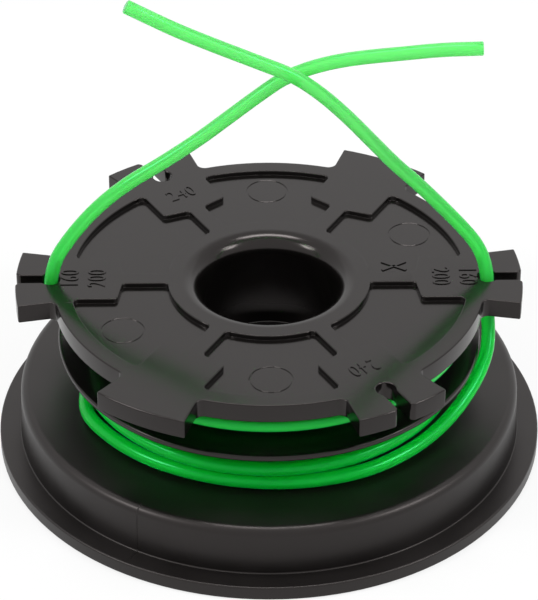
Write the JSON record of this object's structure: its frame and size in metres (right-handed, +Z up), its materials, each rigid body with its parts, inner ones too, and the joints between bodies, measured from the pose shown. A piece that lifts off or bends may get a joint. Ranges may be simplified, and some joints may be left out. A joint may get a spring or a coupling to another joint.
{
  "type": "trimmer line spool",
  "caption": "Round two-chamber spool with slotted lugs, wound with green trimmer line whose free ends cross above it.",
  "frame": {"origin": "middle of the spool's foot, on the surface that it stands on", "axes": "+Z up along the bore, +X towards the lug whose slot the lower line comes up through"},
  "size_m": [0.0956, 0.0956, 0.0876],
  "materials": {
    "black_plastic": "moulded black plastic, satin gloss with a fine grain",
    "green_line": "clear green nylon line, glossy"
  },
  "bodies": {
    "root": {"spool_body": "black_plastic", "lower_winding": "green_line", "upper_winding": "green_line", "lower_line_end": "green_line", "upper_line_end": "green_line"}
  },
  "joints": []
}
